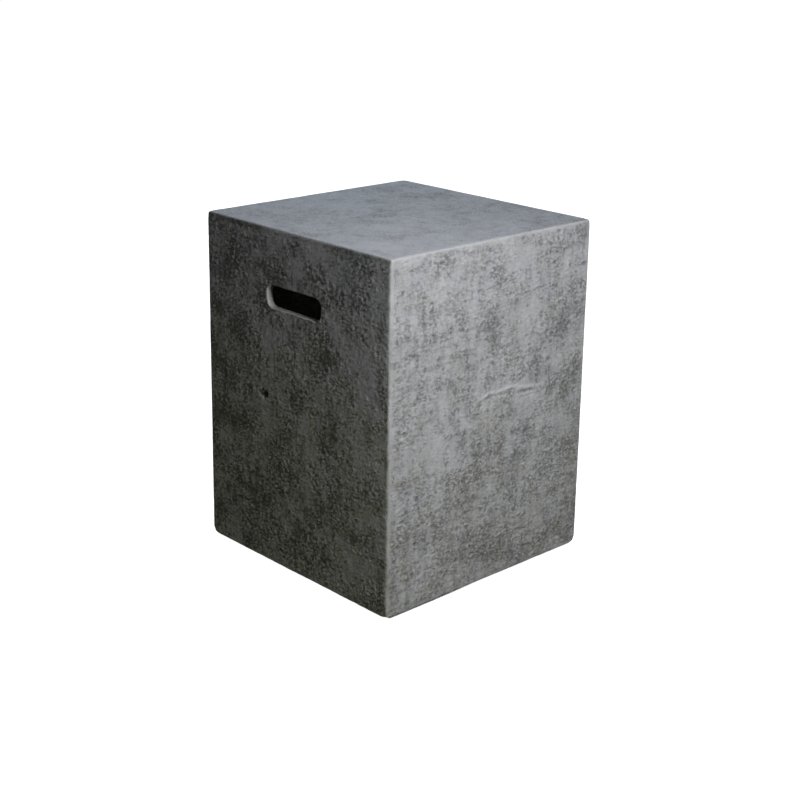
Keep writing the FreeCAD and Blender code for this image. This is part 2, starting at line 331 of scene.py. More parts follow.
def side_sheet(seed, rough_rows=(), smooth_rows=(), ridges=(), voids=(), stains=(), spread=1.0,
               contrast=1.0, olive_tint=0.0, depth=1.25, flecks=1.4, painted_falloff=0.0, painted_edge_shade=0.0):
    """Relief (mm), roughness, dirt (with a painted shadow under the ridges), fleck, stain (with a painted falloff and
    painted edge shade), green and void (painted near black as shade) of one weathered face.
    """
    rng = np.random.default_rng(seed)
    patch, blotch, fleck = band(rng, 38, 170), band(rng, 13, 48), band(rng, 6, 16)
    upright, level = band(rng, 10, 60, 1.0, 4.0), band(rng, 5, 30, 5.0, 1.0)
    wobble = blotch * 0.20 + fleck * 0.10
    rough = 0.44 + 0.16 * V / 510 + 0.10 * patch + 0.09 * blotch + 0.06 * fleck + 0.07 * upright + 0.08 * level
    rough += blots(rough_rows, wobble) - blots(smooth_rows, wobble)
    rough = smooth(rough, 0.10, 0.95)

    wu, wv = band(rng, 5, 16) * 1.9, band(rng, 5, 16) * 1.6

    def curled(shortest, longest, stretch=1.0, amount=1.0):
        return wrap(band(rng, shortest, longest, stretch), _gi + wu * amount, _gj + wv * amount)

    f0, f1 = curled(3.0, 6.0, 1.7, 0.7), curled(4.4, 9.0, 1.5)
    f2, f3 = curled(6.5, 14.0, 1.35, 1.4), curled(9.0, 24.0, 1.3, 1.5)
    where2, where3 = band(rng, 8, 30), band(rng, 12, 40)
    grain, drag, rake = band(rng, 1.6, 3.4), band(rng, 2.0, 6.0, 5.0, 1.0), band(rng, 2.4, 7.0, 1.0, 5.0)
    groove2 = np.exp(-((f2 - 0.35) / 0.26) ** 2) * smooth(where2, -0.5, 1.1)
    groove3 = np.exp(-((f3 - 0.60) / 0.17) ** 2) * smooth(where3, -0.2, 1.2)
    hole = smooth(-f3, 1.2, 2.2)
    blob = smooth(f3, 0.45, 1.3)
    meso = -0.26 * groove2 - 0.40 * groove3 - 0.70 * hole * rough + 0.26 * blob
    meso += 0.16 * f1 + 0.10 * f0
    h = band(rng, 60, 240) * 0.20 + band(rng, 18, 60) * 0.08
    h += depth * (0.30 + 0.70 * rough) * meso + (0.25 + 0.55 * rough) * 0.075 * grain
    h += 0.055 * drag + 0.042 * rake
    rings, cups = craters(rng, 1100, (0.06 + 0.94 * rough ** 1.5) * (0.5 + 0.5 * smooth(where2, -0.6, 1.2)), 1.9, 6.0)
    h += depth * rings
    up, low = strokes(ridges, blotch * 1.0 + fleck * 0.5 + f2 * 0.35)
    broken = smooth(blotch * 0.6 + fleck * 0.5 + f2 * 0.3, -2.0, -0.3)
    up, low = up * broken, low * broken
    h += up * 0.85 - low * 0.62
    # voids: dents, and a mask where their inside is painted near black as shade
    void_and_painted_shade = np.zeros_like(h)
    for cu, cv, ru, rv, depth in voids:
        d = np.sqrt(((U - cu) / ru) ** 2 + ((V - cv) / rv) ** 2) + fleck * 0.22
        h -= depth * smooth(d, 1.35, 0.5)
        void_and_painted_shade = np.maximum(void_and_painted_shade, smooth(d, 1.25, 0.6))
    fine, mid = h - blur(h, 1.7), blur(h, 1.2) - blur(h, 6.0)
    # darker in the pits and lighter on the trowel ridges; the darker groove below each ridge (low) is a painted shadow
    dirt_and_painted_light = contrast * np.tanh(-fine * 2.6 - mid * 1.6) - up * 0.9 + low * 0.5
    dash = wrap(band(rng, 2.4, 6.5, 1.9), _gi + wu * 0.6, _gj + wv * 0.6)
    dash = np.tanh(dash * 0.8) + 0.7 * smooth(dash, 0.9, 2.0) + 0.30 * np.tanh(drag) + 0.26 * np.tanh(rake)
    dash = flecks * contrast * dash * (0.45 + 0.62 * rough)
    stain_and_painted_light = 0.75 * band(rng, 60, 240) + 0.55 * band(rng, 24, 80) + 0.35 * band(rng, 10, 28)
    weave = 0.9 * np.tanh(band(rng, 7, 30, 1.0, 6.0)) + 0.7 * np.tanh(band(rng, 7, 30, 7.0, 1.0))
    # fade: painted shade, darker towards the face's back edge and lighter towards its front edge
    stain_and_painted_light = spread * stain_and_painted_light + 1.8 * blots(stains, wobble * 1.4) + contrast * weave + painted_falloff * (1 - U / 200)
    # brow: painted shade, a dark band under the top edge and along the front arris
    stain_and_painted_light += painted_edge_shade * (smooth(V + wobble * 2.0, 9, 4) + 0.8 * smooth(U, 396.4, 398.4))
    green = 0.13 * band(rng, 30, 130) + 0.07 * band(rng, 10, 40)
    # moss: more olive lower down and towards the face's back edge
    green += (0.15 + 0.75 * V / 510) + olive_tint * (0.15 + 1.5 * smooth(V, 20, 330) - 0.35 * smooth(U, 200, 400)) * (1 + 0.2 * blotch)
    return h, rough, dirt_and_painted_light, dash, stain_and_painted_light, green, void_and_painted_shade


def top_sheet(seed):
    """The top: trowelled smooth, with faint streaks, shallow pits and fine specks."""
    rng = np.random.default_rng(seed)
    patch, blotch, fleck = band(rng, 45, 200), band(rng, 14, 50), band(rng, 6, 16)
    swirl = band(rng, 2.4, 10.0, 3.0, 1.0)
    cross = band(rng, 2.4, 10.0, 1.0, 3.0)
    grain, pits = band(rng, 1.6, 3.4), band(rng, 3.0, 7.0)
    near = smooth(U, 330, 90) * smooth(400 - V, 90, 330)
    rough = smooth(0.30 + 0.09 * patch + 0.09 * blotch + 0.05 * fleck + 0.16 * near, 0.10, 0.95)
    h = band(rng, 60, 240) * 0.16 + band(rng, 18, 60) * 0.05
    h += (0.2 + 0.8 * rough) * (-0.15 * smooth(-pits, 0.8, 2.1) + 0.11 * smooth(pits, 0.6, 2.0))
    h += 0.034 * swirl + 0.030 * cross + 0.034 * grain
    rings, cups = craters(rng, 170, 0.15 + 0.85 * rough, 1.6, 3.4)
    h += 0.5 * rings
    fine = h - blur(h, 1.7)
    dirt_and_painted_light = 0.85 * np.tanh(-fine * 3.0) + 0.02
    dash = np.tanh(band(rng, 2.4, 6.5, 1.5) * 0.9) * (0.95 + 1.9 * rough)
    # near: a painted sheen, lighter towards the top's front-left corner
    stain_and_painted_light = 0.45 * band(rng, 60, 240) + 0.45 * band(rng, 20, 80) + 0.62 * band(rng, 8, 24) - 4.6 * near ** 1.5
    stain_and_painted_light += 1.0 * smooth(U, 150, 380)
    return h, rough * 0.62, dirt_and_painted_light, dash, stain_and_painted_light, np.full_like(h, 0.1), np.zeros_like(h)


# ---- the relief put on the mesh -------------------------------------------------------------------
x, y, z = verts.T
h = half(z)
gap = outer_distance(x, y, z)
g_out = slope(outer_distance, verts)
g_out /= np.maximum(np.linalg.norm(g_out, axis=1, keepdims=True), 1e-6)
normal = slope(shell_distance, verts)
normal /= np.maximum(np.linalg.norm(normal, axis=1, keepdims=True), 1e-6)
outside = smooth(gap, -1.6, -0.2)
near = np.sort(np.stack([h - np.abs(x), h - np.abs(y), TOP_Z - z, z - RIM_Z], 1), 1)
edge = near[:, 1]

down = TOP_Z - z
faces_of = [                                  # weight of each sheet, across, down
    (g_out[:, 1] < 0, g_out[:, 1] ** 2, x + 200, down, side_sheet(11, **FRONT)),
    (g_out[:, 0] < 0, g_out[:, 0] ** 2, 200 - y, down, side_sheet(23, **LEFT)),
    (g_out[:, 0] > 0, g_out[:, 0] ** 2, 200 + y, down, side_sheet(37)),
    (g_out[:, 1] > 0, g_out[:, 1] ** 2, 200 - x, down, side_sheet(41)),
    (g_out[:, 2] > 0, g_out[:, 2] ** 2, x + 200, y + 200, top_sheet(53)),
]
total = np.zeros(len(verts))
fields = [np.zeros(len(verts)) for _ in range(7)]
for facing, weight, u, v, sheet in faces_of:
    w = np.where(facing, weight, 0.0) ** 2
    on = w > 1e-4
    total[on] += w[on]
    for field, m in zip(fields, sheet):
        field[on] += w[on] * sample(m, u[on], v[on])
height, rough, dirt_and_painted_light, dash, stain_and_painted_light, green, void_and_painted_shade = [f / np.maximum(total, 0.25) for f in fields]

under = smooth(-g_out[:, 2], 0.35, 0.9) * outside         # the rim's underside, never finished
rough = rough * (1 - under) + under * (0.62 + 0.18 * lumps(verts, 5.0, 17))
dirt_and_painted_light = dirt_and_painted_light * (1 - under) + under * (0.5 + 0.5 * lumps(verts, 3.2, 18))
dash = dash * (1 - 0.5 * under)
stain_and_painted_light = stain_and_painted_light + under * (1.2 + 0.8 * lumps(verts, 22.0, 19))

wander = lumps(verts, 9.0, 5) * 0.6 + lumps(verts, 3.6, 6) * 0.4
margin = smooth(edge + wander * 1.3, 7.5, 4.0) * outside
calm = 1 - 0.72 * margin * (1 - under)
rough *= calm
dirt_and_painted_light *= calm
dash *= 1 - 0.5 * margin
height *= 1 - 0.72 * margin
# worn edges and knocked corners, always inwards
chip = lumps(verts, 26.0, 7) * 0.7 + lumps(verts, 8.0, 8) * 0.5
wear = smooth(edge, 4.5, 0.5) * smooth(chip, -0.6, 1.5) * 0.45
nick = smooth(edge, 3.5, 0.0) * smooth(lumps(verts, 5.0, 9), 0.9, 2.1)
corner = smooth(near[:, 2], 13.0, 1.0)
foot = smooth(z, 40.0, 8.0)
wear = wear * (0.9 + 0.7 * foot) + nick * (0.55 + 0.5 * foot) + corner * (1.0 + 1.7 * foot) * (0.75 + 0.25 * np.tanh(chip))
raw = lumps(verts, 34.0, 12) * 0.45 + lumps(verts, 13.0, 13) * 0.35 + lumps(verts, 6.0, 14) * 0.22
raw *= smooth(gap, -1.0, -8.0)
slot_wall = np.where(np.abs(x) > 150, rounded_rect(y, z - SLOT_Z, SLOT_HY, SLOT_HZ, SLOT_R), 99.0)
notch_wall = np.where(y > 150, rounded_rect(x, z - (NOTCH_TOP - 60.0), NOTCH_HX, 60.0, NOTCH_R), 99.0)
cut = (1 - outside) * smooth(np.minimum(slot_wall, notch_wall), 2.8, 1.2)       # walls cast against a plug; their pale colour is partly a painted highlight
ragged = lumps(verts, 5.0, 20) * 0.35
# plug: painted light and painted shadow inside the slot: the outer part of the wall is painted light, and past a depth
# that grows downwards like the shadow line of the slot's upper lip it is painted dark
painted_light_share = smooth(-gap + ragged, 4.6 + 0.19 * np.clip(SLOT_Z + 16 - z, 0, 40) + 1.6, 4.6 + 0.19 * np.clip(SLOT_Z + 16 - z, 0, 40) - 0.8)
painted_light_share = np.where(np.abs(x) > 150, painted_light_share, 1.0)
raw = raw * (1 - cut)
cast = np.maximum(outside, cut)
rough *= 1 - 0.8 * cut
# slot and notch walls: painted highlight on the outer part, painted shadow deeper in
dirt_and_painted_light = dirt_and_painted_light * (1 - cut) - 1.9 * cut * painted_light_share + 3.2 * cut * (1 - painted_light_share)
dash *= 1 - 0.8 * cut
move = outside * (height - 0.10 - wear) + (1 - outside) * (raw + cut * 0.10 * lumps(verts, 4.0, 15))
move = np.where(np.hypot(np.abs(x) - FOOT, np.abs(y) - FOOT) < 12, np.where(z < 52, np.where(gap < -3, 0, move), move), move)
placed = verts + normal * np.clip(move, -3.6, 1.2)[:, None]

mesh = bpy.data.meshes.new("cover_shell_cast")
corners = np.concatenate([quads.ravel(), tris.ravel()]).astype(np.int32)
sizes = np.concatenate([np.full(len(quads), 4), np.full(len(tris), 3)])
starts = np.concatenate([[0], np.cumsum(sizes)[:-1]]).astype(np.int32)
mesh.vertices.add(len(placed))
mesh.vertices.foreach_set("co", (placed / 1000).astype(np.float32).ravel())
mesh.loops.add(len(corners))
mesh.loops.foreach_set("vertex_index", corners)
mesh.polygons.add(len(sizes))
mesh.polygons.foreach_set("loop_start", starts)
mesh.polygons.foreach_set("use_smooth", np.ones(len(sizes), bool))
mesh.update(calc_edges=True)
mesh.validate()
# lip: a lighter band along the worn edges, partly a painted highlight: left off the shaded left face, stronger on the
# front face's top edge, none on the underside
worn_edge_and_painted_highlight = smooth(edge, 3.4, 0.9) * (1 - 0.9 * smooth(-g_out[:, 0], 0.5, 0.8) * (y < 195)) * outside * (1 + 0.9 * (g_out[:, 1] < 0) * smooth(g_out[:, 2], 0.15, 0.6)) * (1 - under)
# cut: the pale colour of the slot and notch walls and of the inner half of the slot's edge rounding, partly a painted
# highlight
for name, value in (("tone_rough", rough), ("tone_dirt_and_painted_light", dirt_and_painted_light), ("tone_dash", dash), ("tone_stain_and_painted_light", stain_and_painted_light),
                    ("tone_green", green), ("void_and_painted_shade", void_and_painted_shade), ("worn_edge_and_painted_highlight", worn_edge_and_painted_highlight), ("cut", np.maximum(cut * painted_light_share, outside * smooth(slot_wall, 1.3, 0.5)) * (0.84 + 0.14 * np.tanh(lumps(verts, 7.0, 16))))):
    mesh.attributes.new(name, "FLOAT", "POINT").data.foreach_set("value", value.astype(np.float32))


# ---- a flat map of the mesh for baking ----------------------------------------------------------
def lay_out():
    centre = np.empty(len(sizes) * 3)
    mesh.polygons.foreach_get("center", centre)
    centre = centre.reshape(-1, 3) * 1000
    way = np.stack([np.concatenate([normal[quads, k].mean(1), normal[tris, k].mean(1)]) for k in range(3)], 1)
    cx, cy, cz = centre.T
    out = np.concatenate([outside[quads].mean(1), outside[tris].mean(1)]) > 0.5
    low = (np.abs(cx) > 140) & (np.abs(cy) > 140) & (cz < 105) & ~out
    bore = (np.hypot(np.abs(cx) - FOOT, np.abs(cy) - FOOT) < 9.6) & (cz < 49) & ~out
    slot = (np.abs(cx) > 182) & (rounded_rect(cy, cz - SLOT_Z, SLOT_HY + 7, SLOT_HZ + 7, SLOT_R) < 0) & ~out
    notch = (cy > 182) & (np.abs(cx) < 34) & (cz < 48) & ~out
    region = np.select([out, bore, low, slot, notch], [0, 1, 2, 3, 4], 5)
    size = {0: 1.0, 1: 0.35, 2: 0.6, 3: 1.2, 4: 1.2, 5: 0.5}
    axis = np.argmax(np.abs(way), 1)
    sign = np.take_along_axis(way, axis[:, None], 1)[:, 0] > 0
    key = region * 6 + axis * 2 + sign
    charts = []
    for k in np.unique(key):
        on = np.flatnonzero(key == k)
        a, b = [(1, 2), (0, 2), (0, 1)][k % 6 // 2]
        charts.append((k, on, a, b, size[int(k) // 6]))
    owner = np.repeat(np.arange(len(sizes)), sizes)
    at = placed[corners]
    boxes = []
    for k, on, a, b, s in charts:
        mask = key[owner] == k
        lo = at[mask][:, [a, b]].min(0)
        hi = at[mask][:, [a, b]].max(0)
        boxes.append([k, mask, a, b, s, lo, (hi - lo) * s + 6.0])
    boxes.sort(key=lambda r: -r[6][1])
    best = None
    for width in np.linspace(900, 1900, 41):
        px = py = shelf = 0.0
        spots = []
        for r in boxes:
            w, t = r[6]
            if px + w > width:
                px, py, shelf = 0.0, py + shelf, 0.0
            spots.append((px, py))
            px, shelf = px + w, max(shelf, t)
        side = max(width, py + shelf)
        if best is None or side < best[0]:
            best = (side, spots)
    side, spots = best
    uv = np.zeros((len(corners), 2))
    for r, (px, py) in zip(boxes, spots):
        k, mask, a, b, s, lo, _ = r
        uv[mask, 0] = (px + 3 + (at[mask, a] - lo[0]) * s) / side
        uv[mask, 1] = (py + 3 + (at[mask, b] - lo[1]) * s) / side
    layer = mesh.uv_layers.new(name="OFBake")
    layer.data.foreach_set("uv", uv.astype(np.float32).ravel())


lay_out()
inner = np.concatenate([cast[quads].mean(1), cast[tris].mean(1)]) < 0.5
mesh.polygons.foreach_set("material_index", inner.astype(np.int32))
shell = bpy.data.objects.new("cast_shell", mesh)
bpy.context.scene.collection.objects.link(shell)


# ---- short names for shader nodes -----------------------------------------------------------
class Graph:
    """Short names for the nodes that geometry and shader trees share."""

    def __init__(self, tree):
        self.tree, self.count = tree, 0

    def node(self, kind, **settings):
        n = self.tree.nodes.new(kind)
        n.location = (220 * (self.count // 12), -160 * (self.count % 12))
        self.count += 1
        for k, v in settings.items():
            setattr(n, k, v)
        return n

    def put(self, socket, value):
        if isinstance(value, Value):
            self.tree.links.new(value.socket, socket)
        elif value is not None:
            socket.default_value = value

    def math(self, op, *args, clamp=False):
        n = self.node("ShaderNodeMath", operation=op, use_clamp=clamp)
        for s, a in zip(n.inputs, args):
            self.put(s, a)
        return Value(self, n.outputs[0])

    def vec(self, op, a, b=None, scale=None):
        n = self.node("ShaderNodeVectorMath", operation=op)
        self.put(n.inputs[0], a)
        if b is not None:
            self.put(n.inputs[1], b)
        if scale is not None:
            self.put(n.inputs["Scale"], scale)
        return Value(self, n.outputs[0])

    def split(self, v):
        n = self.node("ShaderNodeSeparateXYZ")
        self.put(n.inputs[0], v)
        return [Value(self, s) for s in n.outputs]

    def join(self, a, b, c):
        n = self.node("ShaderNodeCombineXYZ")
        for s, v in zip(n.inputs, (a, b, c)):
            self.put(s, v)
        return Value(self, n.outputs[0])

    def noise(self, v, scale, detail=2.0, rough=0.5, distort=0.0, kind="FBM", lac=2.0):
        n = self.node("ShaderNodeTexNoise", noise_dimensions="3D", noise_type=kind)
        if hasattr(n, "normalize") and kind == "FBM":
            n.normalize = True
        self.put(n.inputs["Vector"], v)
        for k, val in (("Scale", scale), ("Detail", detail), ("Roughness", rough),
                       ("Lacunarity", lac), ("Distortion", distort)):
            if k in n.inputs:
                n.inputs[k].default_value = val
        out = n.outputs.get("Fac") or n.outputs[0]
        return Value(self, out)

    def cells(self, v, scale, feature="F1", smooth=0.0, jitter=1.0):
        n = self.node("ShaderNodeTexVoronoi", voronoi_dimensions="3D", feature=feature)
        self.put(n.inputs["Vector"], v)
        n.inputs["Scale"].default_value = scale
        n.inputs["Randomness"].default_value = jitter
        if "Smoothness" in n.inputs and feature == "SMOOTH_F1":
            n.inputs["Smoothness"].default_value = smooth
        return Value(self, n.outputs["Distance"]), Value(self, n.outputs["Color"]) if "Color" in n.outputs else None

    def ramp(self, v, a, b, lo=0.0, hi=1.0, smooth=True):
        n = self.node("ShaderNodeMapRange", clamp=True,
                      interpolation_type="SMOOTHSTEP" if smooth else "LINEAR")
        self.put(n.inputs["Value"], v)
        for k, val in (("From Min", a), ("From Max", b), ("To Min", lo), ("To Max", hi)):
            self.put(n.inputs[k], val)
        return Value(self, n.outputs[0])

    def mix(self, f, a, b):
        return a + (b - a) * f if isinstance(a, Value) else (b - a) * f + a

    def colour(self, f, a, b, blend="MIX"):
        n = self.node("ShaderNodeMix", data_type="RGBA", blend_type=blend, clamp_factor=True)
        sockets = [s for s in n.inputs if s.enabled or s.type == "RGBA"]
        self.put(n.inputs[0], f)
        rgba = [s for s in n.inputs if s.type == "RGBA"]
        self.put(rgba[0], a if isinstance(a, Value) else tuple(a) + (1.0,))
        self.put(rgba[1], b if isinstance(b, Value) else tuple(b) + (1.0,))
        out = [s for s in n.outputs if s.type == "RGBA"][0]
        return Value(self, out)


class Value:
    def __init__(self, graph, socket):
        self.graph, self.socket = graph, socket

    def __add__(self, o):
        return self.graph.math("ADD", self, o)

    __radd__ = __add__

    def __sub__(self, o):
        return self.graph.math("SUBTRACT", self, o)

    def __rsub__(self, o):
        return self.graph.math("SUBTRACT", o, self)

    def __mul__(self, o):
        return self.graph.math("MULTIPLY", self, o)

    __rmul__ = __mul__

    def __neg__(self):
        return self.graph.math("MULTIPLY", self, -1.0)

    def abs(self):
        return self.graph.math("ABSOLUTE", self)

    def min(self, o):
        return self.graph.math("MINIMUM", self, o)

    def max(self, o):
        return self.graph.math("MAXIMUM", self, o)

    def pow(self, o):
        return self.graph.math("POWER", self, o)


# ---- materials -----------------------------------------------------------------------------------
def new_material(name):
    m = bpy.data.materials.new(name)
    m.use_nodes = True
    m.node_tree.nodes.clear()
    g = Graph(m.node_tree)
    bsdf = g.node("ShaderNodeBsdfPrincipled")
    out = g.node("ShaderNodeOutputMaterial")
    m.node_tree.links.new(bsdf.outputs[0], out.inputs[0])
    return m, g, bsdf


def bump(g, height, distance, strength=1.0, after=None):
    n = g.node("ShaderNodeBump")
    n.inputs["Strength"].default_value = strength
    n.inputs["Distance"].default_value = distance
    g.put(n.inputs["Height"], height)
    if after is not None:
        g.tree.links.new(after.outputs[0], n.inputs["Normal"])
    return n


def concrete_material():
    m, g, bsdf = new_material("weathered_concrete")

    def attribute(name):
        n = g.node("ShaderNodeAttribute", attribute_name=name, attribute_type="GEOMETRY")
        return Value(g, n.outputs["Fac"])

    n = g.node("ShaderNodeTexCoord")
    p = Value(g, n.outputs["Object"])
    rough, worn_edge_and_painted_highlight = attribute("tone_rough"), attribute("worn_edge_and_painted_highlight")

    grain = g.noise(p, 520.0, 3.0, 0.6)
    speck = g.noise(p, 260.0, 3.0, 0.62, 0.5)
    streak = g.noise(g.vec("MULTIPLY", p, (0.35, 0.35, 1.0)), 330.0, 3.0, 0.55, 0.3)

    # a light cement bloom on the flats, darker and greener where it is rough, pitted and low down
    dark = rough * 0.50 + attribute("tone_dirt_and_painted_light") * 0.27 - attribute("tone_dash") * 0.22 + attribute("tone_stain_and_painted_light") * 0.13
    dark = dark + (0.5 - speck) * (rough * 0.7 + 0.15) + (0.5 - grain) * 0.42 + (0.5 - streak) * 0.30
    # lighter along the edges: worn edge plus painted highlight
    dark = dark - worn_edge_and_painted_highlight * 0.30
    green = attribute("tone_green")
    old = g.ramp(green, 0.0, 1.0, smooth=False)
    bloom = g.colour(old, (0.275, 0.281, 0.297), (0.268, 0.270, 0.258))
    mid = g.colour(old, (0.184, 0.188, 0.198), (0.181, 0.183, 0.170))
    deep = g.colour(old, (0.107, 0.110, 0.116), (0.102, 0.104, 0.092))
    base = g.colour(g.ramp(dark, -0.49, 0.26, smooth=False), (0.385, 0.391, 0.408), bloom)
    base = g.colour(g.ramp(dark, 0.21, 0.64, smooth=False), base, mid)
    base = g.colour(g.ramp(dark, 0.60, 1.16, smooth=False), base, deep)
    base = g.colour(g.ramp(green, 0.9, 2.6, smooth=False), base, (0.975, 1.0, 0.82), "MULTIPLY")
    # pale slot and notch walls: partly a painted highlight
    base = g.colour(attribute("cut"), base, (0.60, 0.605, 0.60))
    # void: the dent painted near black, a painted shade in the recess
    base = g.colour(attribute("void_and_painted_shade"), base, (0.020, 0.020, 0.018))
    g.put(bsdf.inputs["Base Color"], base)

    g.put(bsdf.inputs["Roughness"], rough * 0.22 + 0.62 + (grain - 0.5) * 0.12)
    bsdf.inputs["Specular IOR Level"].default_value = 0.35
    fine = grain * (rough * 0.5 + 0.3) + speck * (rough * 1.1 + 0.25) + streak * 0.45
    b = bump(g, fine, 0.0009, 0.8)
    m.node_tree.links.new(b.outputs[0], bsdf.inputs["Normal"])
    return m


def inside_material():
    """The unfinished back of the casting: lumpy mortar with strands of glass fibre in it."""
    m, g, bsdf = new_material("rough_concrete_inside")
    n = g.node("ShaderNodeTexCoord")
    p = Value(g, n.outputs["Object"])
    bent = g.vec("ADD", p, g.vec("MULTIPLY", g.join(g.noise(p, 30.0, 1.0), g.noise(p, 34.0, 1.0), g.noise(p, 38.0, 1.0)), (0.006, 0.006, 0.006)))
    cloud = g.noise(p, 9.0, 4.0, 0.6)
    lump = g.noise(p, 95.0, 3.0, 0.6, 0.4)
    grit = g.noise(p, 620.0, 2.0, 0.6)
    strands = None
    for stretch in ((1.0, 0.09, 0.35), (0.09, 1.0, 0.5), (0.6, 0.45, 0.08), (0.3, 0.7, 1.0)):
        line = g.noise(g.vec("MULTIPLY", bent, stretch), 210.0, 0.0)
        line = g.ramp((line - 0.5).abs(), 0.018, 0.002)
        strands = line if strands is None else strands.max(line)
    strands = strands * g.ramp(g.noise(p, 46.0, 2.0), 0.44, 0.60)
    base = g.colour(g.ramp(cloud, 0.35, 0.65), (0.160, 0.158, 0.148), (0.250, 0.247, 0.234))
    base = g.colour(g.ramp(lump, 0.55, 0.30) * 0.55, base, (0.100, 0.098, 0.090))
    base = g.colour(g.ramp(grit, 0.58, 0.72) * 0.5, base, (0.36, 0.355, 0.34))
    base = g.colour(strands * 0.55, base, (0.40, 0.40, 0.37))
    g.put(bsdf.inputs["Base Color"], base)
    g.put(bsdf.inputs["Roughness"], 0.90 - strands * 0.3 - lump * 0.08)
    bsdf.inputs["Specular IOR Level"].default_value = 0.3
    b = bump(g, lump * 1.6 + grit * 0.35 + strands * 0.45, 0.0022, 0.85)
    m.node_tree.links.new(b.outputs[0], bsdf.inputs["Normal"])
    return m


def zinc_material():
    m, g, bsdf = new_material("zinc_plated_steel")
    n = g.node("ShaderNodeTexCoord")
    p = Value(g, n.outputs["Object"])
    cloud = g.noise(p, 160.0, 4.0, 0.6, 0.6)
    fine = g.noise(p, 1500.0, 3.0, 0.6)
    rust = g.ramp(g.noise(p, 240.0, 4.0, 0.65, 0.4), 0.60, 0.74)
    base = g.colour(g.ramp(cloud, 0.3, 0.7), (0.46, 0.47, 0.48), (0.63, 0.63, 0.61))
    base = g.colour(rust * 0.45, base, (0.30, 0.235, 0.17))
    g.put(bsdf.inputs["Base Color"], base)
    bsdf.inputs["Metallic"].default_value = 1.0
    g.put(bsdf.inputs["Roughness"], g.mix(cloud, 0.30, 0.52) + rust * 0.15)
    b = bump(g, fine * 0.5 + cloud * 0.5, 0.0002, 0.35)
    m.node_tree.links.new(b.outputs[0], bsdf.inputs["Normal"])
    return m


def nylon_material():
    m, g, bsdf = new_material("black_nylon")
    n = g.node("ShaderNodeTexCoord")
    p = Value(g, n.outputs["Object"])
    cloud = g.noise(p, 120.0, 4.0, 0.6)
    fine = g.noise(p, 2600.0, 2.0, 0.6)
    scuff = g.ramp(g.noise(p, 420.0, 4.0, 0.7, 0.8), 0.58, 0.72)
    base = g.colour(g.ramp(cloud, 0.3, 0.7), (0.016, 0.016, 0.017), (0.028, 0.028, 0.028))
    base = g.colour(scuff * 0.35, base, (0.075, 0.073, 0.070))
    g.put(bsdf.inputs["Base Color"], base)
    g.put(bsdf.inputs["Roughness"], g.mix(cloud, 0.48, 0.66) + scuff * 0.12)
    b = bump(g, fine * 0.6 + cloud * 0.4, 0.00015, 0.4)
    m.node_tree.links.new(b.outputs[0], bsdf.inputs["Normal"])
    return m


stone = concrete_material()
zinc = zinc_material()
nylon = nylon_material()
mesh.materials.append(stone)
mesh.materials.append(inside_material())
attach(shell, "shell")
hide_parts("cover_shell")


# ---- the four levelling feet --------------------------------------------------------------------
def turned(name, rings, segments, low_pole=None, high_pole=None):
    """A closed surface of rings about the Z axis; each ring is (radii, heights) over the turn, in mm."""
    angle = np.arange(segments) * 2 * math.pi / segments
    points, faces = [], []
    for radii, heights in rings:
        r, t = np.broadcast_to(radii, segments), np.broadcast_to(heights, segments)
        points.append(np.stack([r * np.cos(angle), r * np.sin(angle), t], 1))
    points = list(np.concatenate(points))
    step = np.arange(segments)
    after = (step + 1) % segments
    for k in range(len(rings) - 1):
        a, b = k * segments, (k + 1) * segments
        faces += np.stack([a + step, a + after, b + after, b + step], 1).tolist()
    if low_pole is None:
        a, b = (len(rings) - 1) * segments, 0
        faces += np.stack([a + step, a + after, b + after, b + step], 1).tolist()
    else:
        points.append((0.0, 0.0, low_pole))
        faces += np.stack([np.full(segments, len(points) - 1), after, step], 1).tolist()
        points.append((0.0, 0.0, high_pole))
        a = (len(rings) - 1) * segments
        faces += np.stack([np.full(segments, len(points) - 1), a + step, a + after], 1).tolist()
    m = bpy.data.meshes.new(name)
    m.from_pydata([tuple(float(c) / 1000 for c in q) for q in points], [], faces)
    m.polygons.foreach_set("use_smooth", np.ones(len(m.polygons), bool))
    m.set_sharp_from_angle(angle=math.radians(32))
    m.validate()
    return m


def arc(r, t, radius, a0, a1, steps=4):
    """Profile points (radius, height) of a rounded edge about (r, t), angles in degrees."""
    return [(r + radius * math.cos(math.radians(a)), t + radius * math.sin(math.radians(a)))
            for a in np.linspace(a0, a1, steps + 1)]


PITCH = 1.25


def stem_rings(segments=48):
    """Disc held in the pad, neck, chamfered hexagon and M8 thread."""
    turn = np.arange(segments) / segments
    flat = np.abs((turn * 6 + 0.5) % 1 - 0.5) * math.pi / 3        # angle from the nearest corner
    hexagon = np.minimum(6.5 / np.cos(math.pi / 6 - flat), 7.42)
    profile = [(2.2, 2.02), (5.6, 2.0)] + arc(6.1, 2.4, 0.4, -90, 0) + arc(6.1, 4.6, 0.4, 0, 90)
    profile += [(5.0, 5.0), (4.3, 5.02), (3.98, 5.3), (3.94, 6.6), (3.94, 8.2), (4.0, 8.58)]
    rings = [(r, t) for r, t in profile]
    for t, cone in ((8.6, 6.2), (8.62, 6.46), (8.9, 6.95), (9.2, 7.45), (9.6, 8.0), (11.1, 8.0), (12.6, 8.0),
                    (13.0, 7.45), (13.3, 6.95), (13.58, 6.46), (13.6, 6.2)):
        rings.append((np.minimum(hexagon, cone), t))
    rings += [(4.6, 13.6), (3.75, 13.62), (3.40, 13.9)]
    for t in np.arange(14.05, 39.99, PITCH / 10):
        phase = (t / PITCH - turn) % 1                              # right-hand helix
        tooth = np.clip((0.5 - np.abs(phase - 0.5)) * 2.9 - 0.33, 0, 0.86) / 0.86
        deep = 0.64 * smooth(t, 13.9, 15.0)
        r = 3.975 - deep * (1 - tooth)
        r = r - 0.30 * smooth(t, 15.0, 13.9)
        rings.append((np.minimum(r, 3.02 + (39.9 - t)), t))
    rings += [(2.9, 39.98), (1.6, 40.0)]
    return rings


